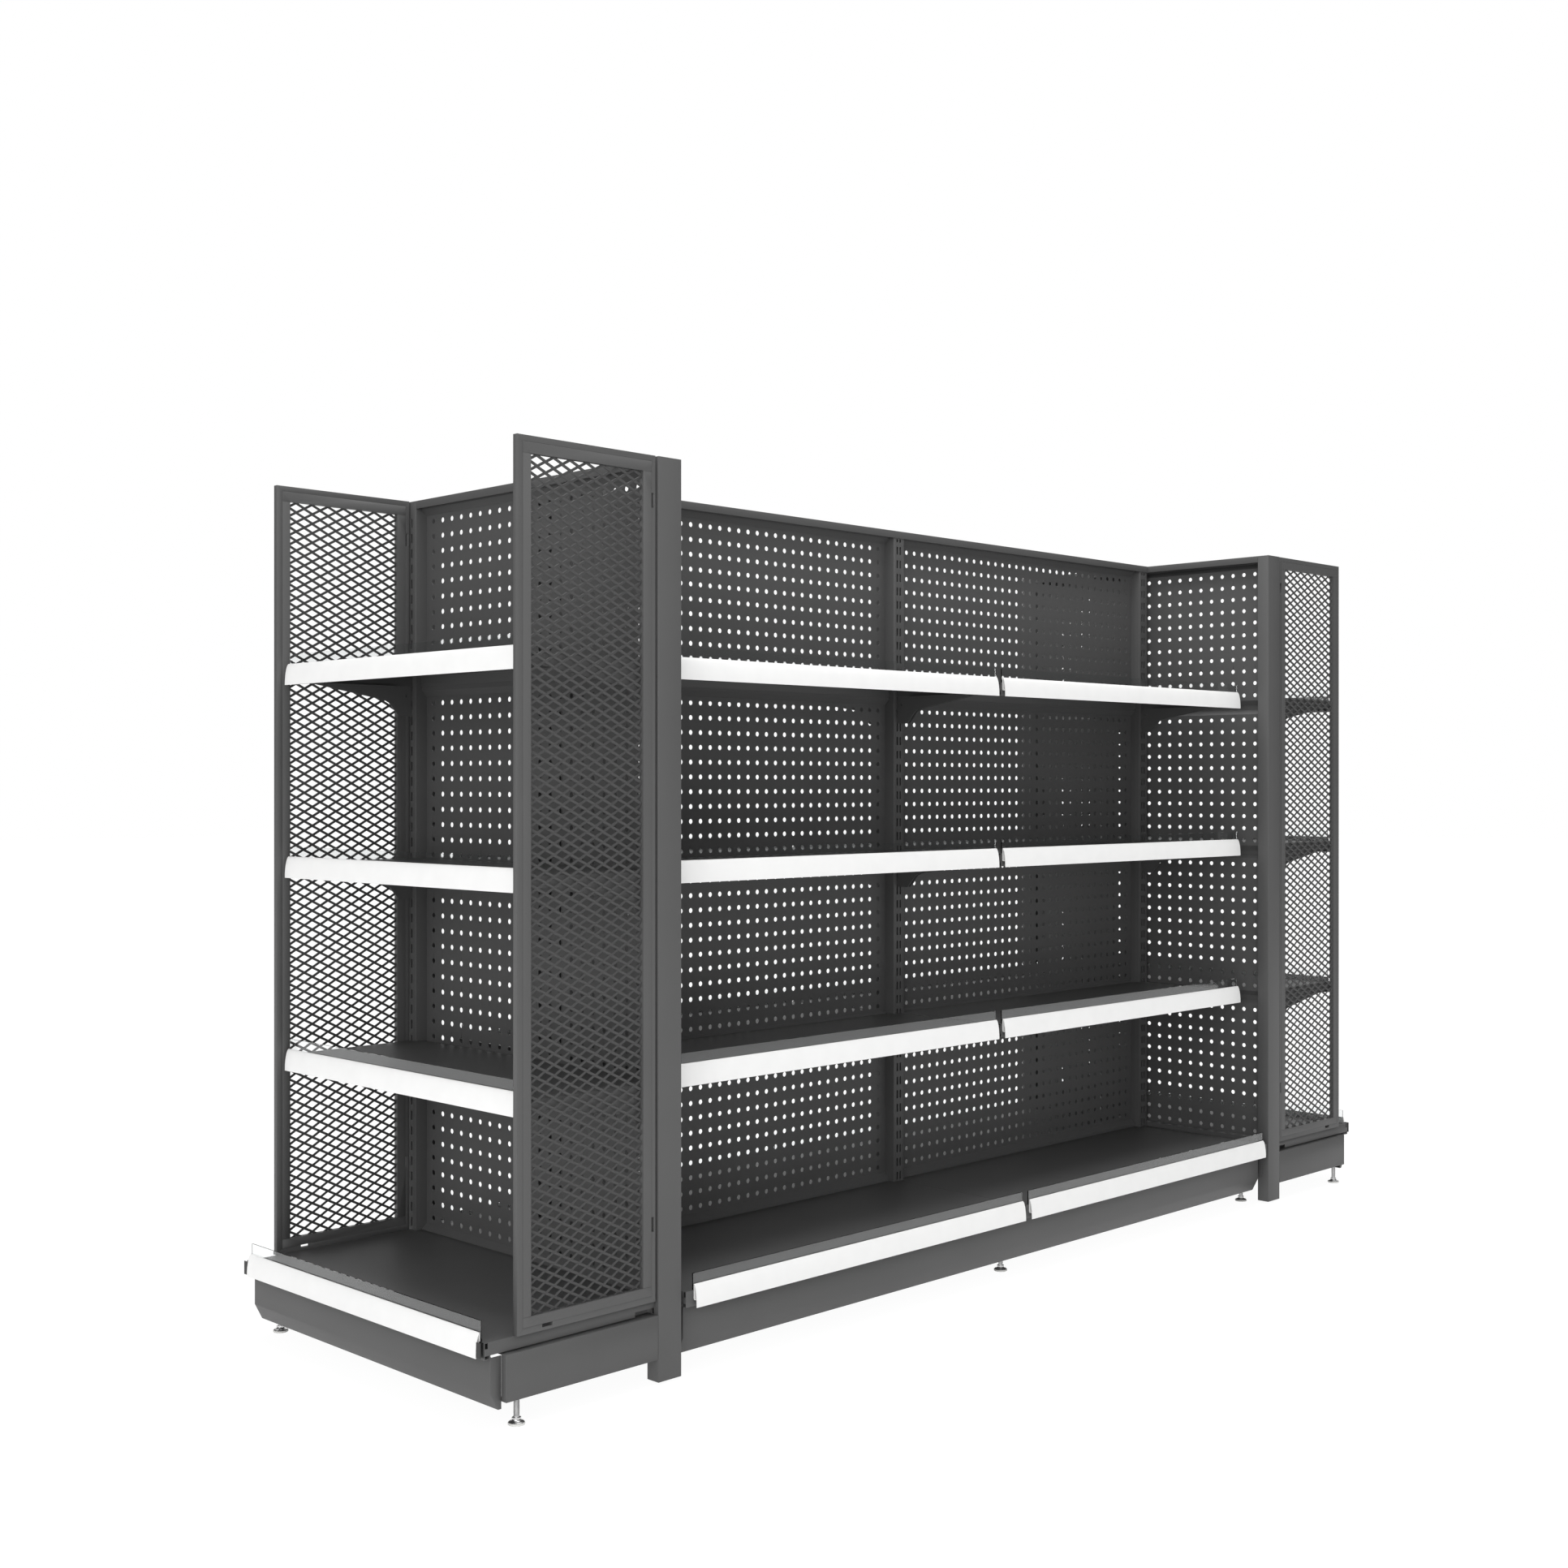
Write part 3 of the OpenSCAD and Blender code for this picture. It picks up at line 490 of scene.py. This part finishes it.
def foot_pad(height):
    """The plastic pad: a flat disc with a slightly raised rim."""
    disc = height - PAD_DOWN
    return smooth(spun([(AXIS, 0.0), (0.0126, 0.0), (PAD_RADIUS, 0.0006), (PAD_RADIUS, height - 0.0005),
                        (PAD_RIM, height), (PAD_DISC, height), (0.0122, disc), (AXIS, disc)]))


def placed(model, centre):
    """A copy of a foot's model, moved to a foot's place."""
    copy = bpy.data.objects.new("piece", model.data.copy())
    bpy.context.collection.objects.link(copy)
    copy.data.transform(Matrix.Translation((centre.x, centre.y, 0)))
    return copy


models = None
for node in [n for n in nodes if n.startswith("foot_")]:
    solids = sorted(solids_of(node), key=lambda s: corners(s)[0].z)
    (pad_low, pad_high), (bolt_low, bolt_high) = (corners(s) for s in solids)
    for solid in solids:
        bpy.data.objects.remove(solid)
    models = models or (foot_pad(pad_high.z), levelling_bolt(bolt_low.z))
    for model, part, material in zip(models, ("pad", "bolt"), (PAD, ZINC)):
        copy = placed(model, (pad_low + pad_high) / 2)
        finish_piece(copy, f"{node}_{part}", material, body_of(node))
    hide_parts(node)
for model in models:
    bpy.data.objects.remove(model)


# Mesh side panels
DIAMOND = (0.0327, 0.0171)      # width and height of one diamond, centre to centre
STRAND = 0.0042                 # width of the strand between two diamonds
LEAN = 0.3                      # how far a strand leans, as a share of its width
FIRST_ROW = 0.3                 # how far the first row starts below the sheet, as a share of a diamond
SHEET = 0.0014
SEAM = 0.0007                   # width and depth of the frame's seams
SEAM_FREE, SEAM_POST = 0.0108, 0.008        # how far the seams lie from the frame's free and post sides
SEAM_TOP, SEAM_FOOT = 0.0095, 0.010         # and from its top and foot


def array(piece, count, step):
    apply(piece, "ARRAY", use_relative_offset=False, use_constant_offset=True,
          constant_offset_displace=step, count=count)


def cut_at(piece, place, normal):
    """Cuts off what lies beyond a plane, on the side its normal points to."""
    only(piece)
    bpy.ops.object.mode_set(mode="EDIT")
    bpy.ops.mesh.select_all(action="SELECT")
    bpy.ops.mesh.bisect(plane_co=place, plane_no=normal, clear_outer=True)
    bpy.ops.object.mode_set(mode="OBJECT")


def expanded_mesh(low, high):
    """A sheet of raised expanded mesh between two corners: one diamond, repeated and trimmed.
    Each strand leans, because a diamond's upper corner stands behind its lower one."""
    middle = (low + high) / 2
    bpy.ops.mesh.primitive_circle_add(vertices=4, radius=0.5, fill_type="NGON")
    sheet = bpy.context.active_object
    sheet.data.transform(Matrix.Diagonal((DIAMOND[0], DIAMOND[1], 1, 1)))
    sheet.data.transform(Matrix.Rotation(math.radians(90), 4, "X"))
    bpy.ops.object.mode_set(mode="EDIT")
    bpy.ops.mesh.select_all(action="SELECT")
    bpy.ops.mesh.inset(thickness=STRAND / 2)
    bpy.ops.mesh.delete(type="FACE")
    bpy.ops.object.mode_set(mode="OBJECT")
    for corner in sheet.data.vertices:
        if abs(corner.co.x) < 1e-6 and abs(corner.co.z) < DIAMOND[1] / 2 - 1e-5:
            corner.co.y += math.copysign(STRAND * LEAN, corner.co.z)
    columns = math.ceil((high.x - low.x) / DIAMOND[0] / 2) * 2 + 1
    rows = math.ceil((high.z - low.z) / DIAMOND[1]) + 1
    array(sheet, columns, (DIAMOND[0], 0, 0))
    array(sheet, rows, (0, 0, DIAMOND[1]))
    array(sheet, 2, (DIAMOND[0] / 2, 0, DIAMOND[1] / 2))
    start = Vector((middle.x - columns // 2 * DIAMOND[0], middle.y, low.z - DIAMOND[1] * FIRST_ROW))
    sheet.data.transform(Matrix.Translation(start - sheet.location))
    sheet.location = (0, 0, 0)
    only(sheet)
    bpy.ops.object.mode_set(mode="EDIT")
    bpy.ops.mesh.select_all(action="SELECT")
    bpy.ops.mesh.remove_doubles(threshold=1e-5)
    bpy.ops.object.mode_set(mode="OBJECT")
    for place, normal in ((low, (-1, 0, 0)), (low, (0, 0, -1)), (high, (1, 0, 0)), (high, (0, 0, 1))):
        cut_at(sheet, place, normal)
    apply(sheet, "SOLIDIFY", thickness=SHEET, offset=0)
    return sheet


def groove(rim, first, last):
    """Cuts a thin groove, given by its two far corners."""
    bpy.ops.object.select_all(action="DESELECT")
    bpy.ops.mesh.primitive_cube_add(size=1, location=(first + last) / 2)
    cutter = bpy.context.active_object
    cutter.dimensions = [max(abs(side), SEAM) for side in last - first]
    bpy.ops.object.transform_apply(location=False, rotation=False, scale=True)
    apply(rim, "BOOLEAN", object=cutter, operation="DIFFERENCE", solver="EXACT")
    bpy.data.objects.remove(cutter)


def scribed(rim, inner_low, inner_high):
    """Grooves both faces of a mesh panel's frame where its folded bars meet."""
    low, high = corners(rim)
    free, post = (high.x, low.x) if high.x > 0 else (low.x, high.x)
    way = math.copysign(1, post - free)
    x_free, x_post = free + way * SEAM_FREE, post - way * SEAM_POST
    z_top, z_foot = high.z - SEAM_TOP, low.z + SEAM_FOOT
    lines = [((x_free, z_foot), (x_free, z_top)), ((x_free, z_top), (x_post, z_top)),
             ((x_post, z_foot), (x_post, z_top)), ((x_free, z_foot), (x_post, z_foot))]
    inner_free, inner_post = (inner_low.x, inner_high.x) if way > 0 else (inner_high.x, inner_low.x)
    for edge, inner in ((x_free, inner_free), (x_post, inner_post)):
        lines += [((edge, z), (inner, z)) for z in (inner_high.z, inner_low.z)]
    for y in (low.y, high.y):
        for (xa, za), (xb, zb) in lines:
            groove(rim, Vector((xa, y, za)), Vector((xb, y, zb)))


for node in [n for n in nodes if n.startswith("mesh_panel_")]:
    rim, flat = sorted(solids_of(node), key=lambda s: corners(s)[0].z)
    low, high = corners(flat)
    bpy.data.objects.remove(flat)
    sheet = expanded_mesh(low, high)
    scribed(rim, low, high)
    finish_piece(rounded(rim, FRAME_ROUND), node + "_frame", POWDER, "frame")
    finish_piece(sheet, node + "_mesh", STEEL_MESH, "frame")
    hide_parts(node)


# ---- Studio ----

low, high = (Vector(c) for c in packed_box)
centre = (low + high) / 2

camera = bpy.data.objects.new("camera", bpy.data.cameras.new("camera"))
bpy.context.collection.objects.link(camera)
camera.location = (-2.996, -2.678, 0.977)
camera.rotation_euler = (math.radians(90), 0, math.radians(-45))
camera.data.sensor_width = 36.0
camera.data.angle = math.radians(45)
bpy.context.scene.camera = camera


def seen_rays(tree):
    """1 for the rays that look at the backdrop, also by mirrors and through clear sheet, else 0."""
    path = tree.add("LightPath")
    return path["Is Camera Ray"] | path["Is Glossy Ray"] | path["Is Transmission Ray"]


# The room gives an even light of LIGHT, and looks white
LIGHT = 0.67
world = bpy.data.worlds.new("studio")
bpy.context.scene.world = world
world.use_nodes = True
room = Finish(world.node_tree)
strength = seen_rays(room) * (1 - LIGHT) + LIGHT
room.add("OutputWorld", Surface=room.add("Background", Color=grey(1.0), Strength=strength)["Background"])

# The floor throws light back up, and looks white with the unit's shadow on it
bpy.ops.mesh.primitive_plane_add(size=60, location=(centre.x, centre.y, 0))
floor = bpy.context.active_object
floor.name = "floor"
material, ground = new_material("floor")
seen = seen_rays(ground)
pale = ground.add("AddShader", _0=ground.add("BsdfDiffuse", Color=grey(0.85))["BSDF"],
                  _1=ground.add("Emission", Color=grey(1.0), Strength=0.2)["Emission"])["Shader"]
shadow = ground.add("BsdfDiffuse", Color=grey(0.07))["BSDF"]
white = ground.add("Emission", Color=grey(1.0), Strength=0.96)["Emission"]
both = ground.add("AddShader", _0=shadow, _1=white)["Shader"]
ground.add("OutputMaterial", Surface=ground.add("MixShader", Fac=seen, _1=pale, _2=both)["Shader"])
paint(floor, material)


def softbox(name, place, size, power):
    """A square lamp that faces the middle of the unit."""
    lamp = bpy.data.objects.new(name, bpy.data.lights.new(name, "AREA"))
    bpy.context.collection.objects.link(lamp)
    lamp.data.size = size
    lamp.data.energy = power
    lamp.location = place
    lamp.rotation_euler = (centre - lamp.location).to_track_quat("-Z", "Y").to_euler()
    return lamp


softbox("key", Vector((-5.0, -3.0, 2.0)), 3.0, 110)
softbox("overhead", Vector((0.0, 0.0, 5.0)), 4.0, 220)

DARK_CARD, dark = new_material("card")
dark.add("OutputMaterial", Surface=dark.add("Emission", Color=grey(0.03), Strength=1.0)["Emission"])
CARD_SIZE = (9, 4, 0)


def card(name, place):
    """A dark card that only mirrors see, so that clear and polished pieces have something to reflect."""
    bpy.ops.mesh.primitive_plane_add(size=1, location=place)
    screen = bpy.context.active_object
    screen.name = name
    screen.dimensions = CARD_SIZE
    facing = Vector((centre.x, centre.y, place.z)) - place
    screen.rotation_euler = facing.to_track_quat("Z", "Y").to_euler()
    paint(screen, DARK_CARD)
    screen.visible_camera = screen.visible_diffuse = screen.visible_shadow = False


card("card_right", Vector((3.3, -3.3, 2.1)))
card("card_left", Vector((-3.3, 3.3, 2.1)))

bpy.context.scene.view_settings.view_transform = "Standard"
